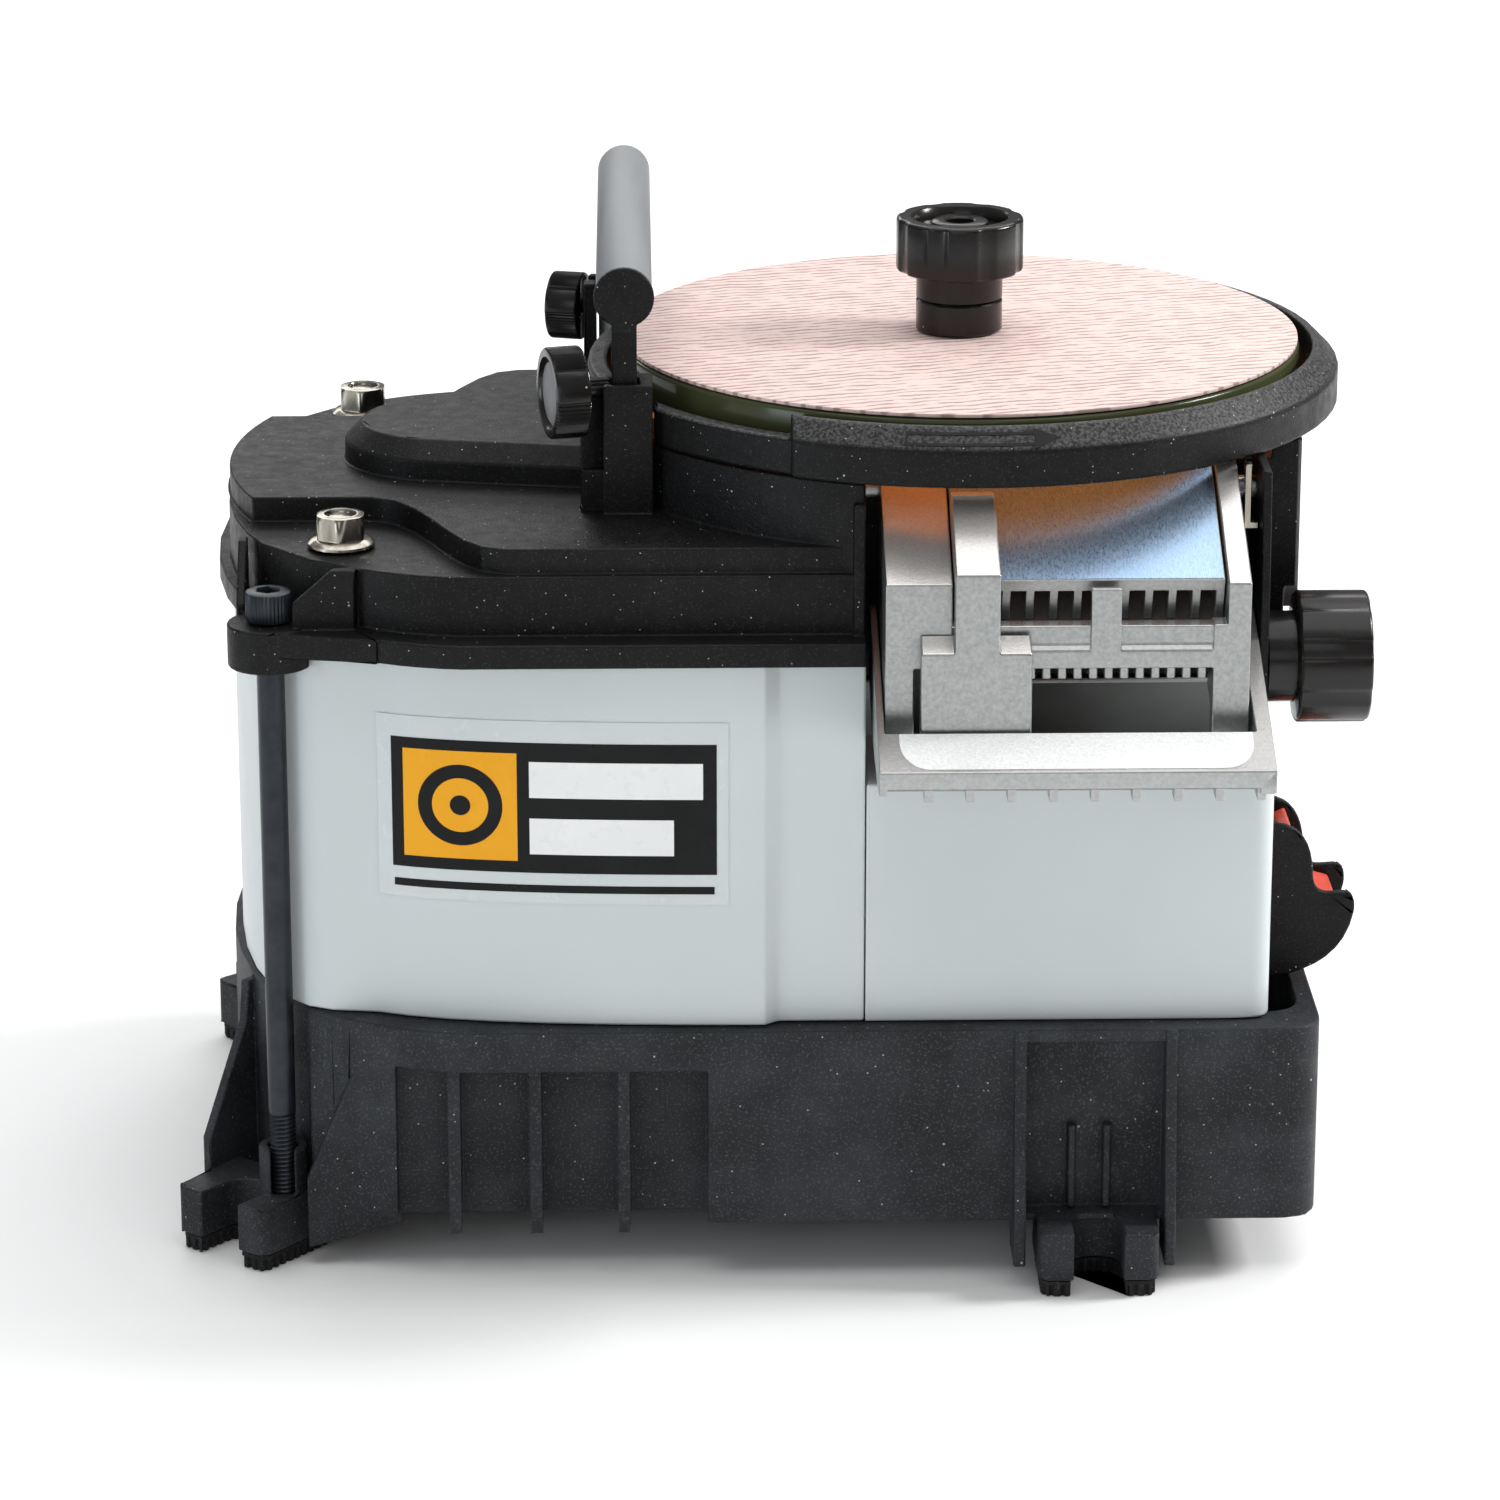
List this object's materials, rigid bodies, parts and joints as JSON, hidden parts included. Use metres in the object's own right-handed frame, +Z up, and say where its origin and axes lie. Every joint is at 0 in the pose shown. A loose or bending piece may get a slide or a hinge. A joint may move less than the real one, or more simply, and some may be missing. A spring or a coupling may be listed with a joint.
{
  "type": "disc sharpener",
  "caption": "Bench sharpener with a flat-turning glass abrasive wheel, a tilting finned chisel port under its front edge and a raised tool rest.",
  "frame": {"origin": "middle of the machine's footprint, on the floor under its feet", "axes": "+Z up, +X along the machine from the motor end to the wheel end, -Y towards the user, where the chisel port is"},
  "size_m": [0.2571, 0.212, 0.2158],
  "materials": {
    "black_case": "fine moulded grain, black",
    "charcoal": "matte moulded charcoal",
    "white_case": "satin pale grey-white",
    "rubber": "matte",
    "black_oxide": "black oxide steel",
    "zinc": "bright zinc plate",
    "cast_alloy": "fine cast grain",
    "bright_alloy": "brushed",
    "steel": "ground",
    "laminations": "stacked sheet",
    "copper": "enamelled wire",
    "cast_iron": "rough",
    "glass": "polished edge",
    "pink_paper": "fine abrasive paper",
    "orange_paper": "coarse abrasive paper",
    "black_knob": "satin black",
    "red_plastic": "satin red",
    "grey_tube": "satin anodised",
    "belt_rubber": "ribbed",
    "label": "printed film",
    "can_alloy": "drawn can",
    "nylon": "ivory"
  },
  "bodies": {
    "body": {"base_tub": "charcoal", "foot_pad_front_left": "rubber", "foot_pad_front_right": "rubber", "foot_pad_rear_left": "rubber", "foot_pad_rear_right": "rubber", "motor_housing": "white_case", "port_panel": "white_case", "top_cover": "black_case", "wheel_guard": "black_case", "label_plate": "label", "cord_gland": "rubber", "tie_bolt_front": "black_oxide", "tie_bolt_rear": "black_oxide", "cover_nut_front": "zinc", "cover_nut_rear": "zinc", "chassis_plate": "cast_iron", "motor_screw_1": "zinc", "motor_screw_2": "zinc", "motor_screw_3": "zinc", "stator_core": "laminations", "stator_windings": "copper", "end_bell_upper": "cast_alloy", "end_bell_lower": "cast_alloy", "motor_bearing_upper": "steel", "motor_bearing_lower": "steel", "drive_belt": "belt_rubber", "run_capacitor": "can_alloy", "capacitor_clip": "steel", "spindle_housing": "cast_iron", "spindle_bearing_lower": "steel", "spindle_bearing_upper": "steel", "port_hanger": "black_case", "detent_spring": "zinc", "switch_housing": "black_case", "switch_module": "nylon"},
    "rotor": {"motor_shaft": "steel", "rotor_core": "laminations", "motor_pulley": "cast_alloy", "cooling_fan": "black_case"},
    "spindle": {"spindle_shaft": "steel", "spindle_pulley": "cast_alloy", "drive_hub": "cast_alloy", "glass_wheel": "glass", "abrasive_top": "pink_paper", "abrasive_bottom": "orange_paper"},
    "knob_washer": {"knob_collar": "black_knob"},
    "knob": {"wheel_knob": "black_knob"},
    "rest": {"rest_tube": "grey_tube", "rest_front_leg": "black_case", "rest_rear_leg": "grey_tube"},
    "front_clamp": {"rest_front_knob": "black_knob"},
    "rear_clamp": {"rest_rear_knob": "black_knob"},
    "port": {"port_frame": "cast_alloy", "heat_sink": "bright_alloy", "port_tray": "bright_alloy", "pivot_pin_left": "steel", "pivot_pin_right": "steel"},
    "fence": {"chisel_fence": "cast_alloy"},
    "tilt_clamp": {"port_knob": "black_knob"},
    "paddle": {"power_paddle": "red_plastic"}
  },
  "joints": [
    {"name": "wheel_spin", "type": "hinge", "parent": "body", "child": "spindle", "pos_m": [0.0438, 0.008, 0.15], "axis": [0, 0, 1], "continuous": true},
    {"name": "motor_spin", "type": "hinge", "parent": "body", "child": "rotor", "pos_m": [-0.0692, 0.008, 0.084], "axis": [0, 0, 1], "continuous": true},
    {"name": "knob_lift", "type": "slide", "parent": "spindle", "child": "knob_washer", "axis": [0, 0, 1], "range_m": [0, 0.0038]},
    {"name": "knob_turn", "type": "hinge", "parent": "knob_washer", "child": "knob", "pos_m": [0.0438, 0.008, 0.205], "axis": [0, 0, 1], "range_deg": [0, 1080]},
    {"name": "rest_height", "type": "slide", "parent": "body", "child": "rest", "axis": [0, 0, 1], "range_m": [-0.011, 0]},
    {"name": "rest_front_knob_turn", "type": "hinge", "parent": "rest", "child": "front_clamp", "pos_m": [-0.0301, -0.0373, 0.1886], "axis": [-0.9659, -0.2588, 0], "range_deg": [0, 360]},
    {"name": "rest_rear_knob_turn", "type": "hinge", "parent": "rest", "child": "rear_clamp", "pos_m": [-0.0301, 0.0533, 0.1842], "axis": [-0.9659, 0.2588, 0], "range_deg": [0, 360]},
    {"name": "port_tilt", "type": "hinge", "parent": "body", "child": "port", "pos_m": [0.0638, -0.044, 0.168], "axis": [1, 0, 0], "range_deg": [-5, 10]},
    {"name": "fence_slide", "type": "slide", "parent": "port", "child": "fence", "axis": [1, 0, 0], "range_m": [0, 0.038]},
    {"name": "port_knob_turn", "type": "hinge", "parent": "port", "child": "tilt_clamp", "pos_m": [0.1188, -0.052, 0.1324], "axis": [1, 0, 0], "range_deg": [0, 360]},
    {"name": "power_paddle_rock", "type": "hinge", "parent": "body", "child": "paddle", "pos_m": [0.1138, -0.039, 0.08], "axis": [0, 1, 0], "range_deg": [0, 14]}
  ],
  "couplings": [
    {"joint": "motor_spin", "follows": "wheel_spin", "ratio": 3},
    {"joint": "knob_lift", "follows": "knob_turn", "m_per_rad": 0.00019894}
  ]
}
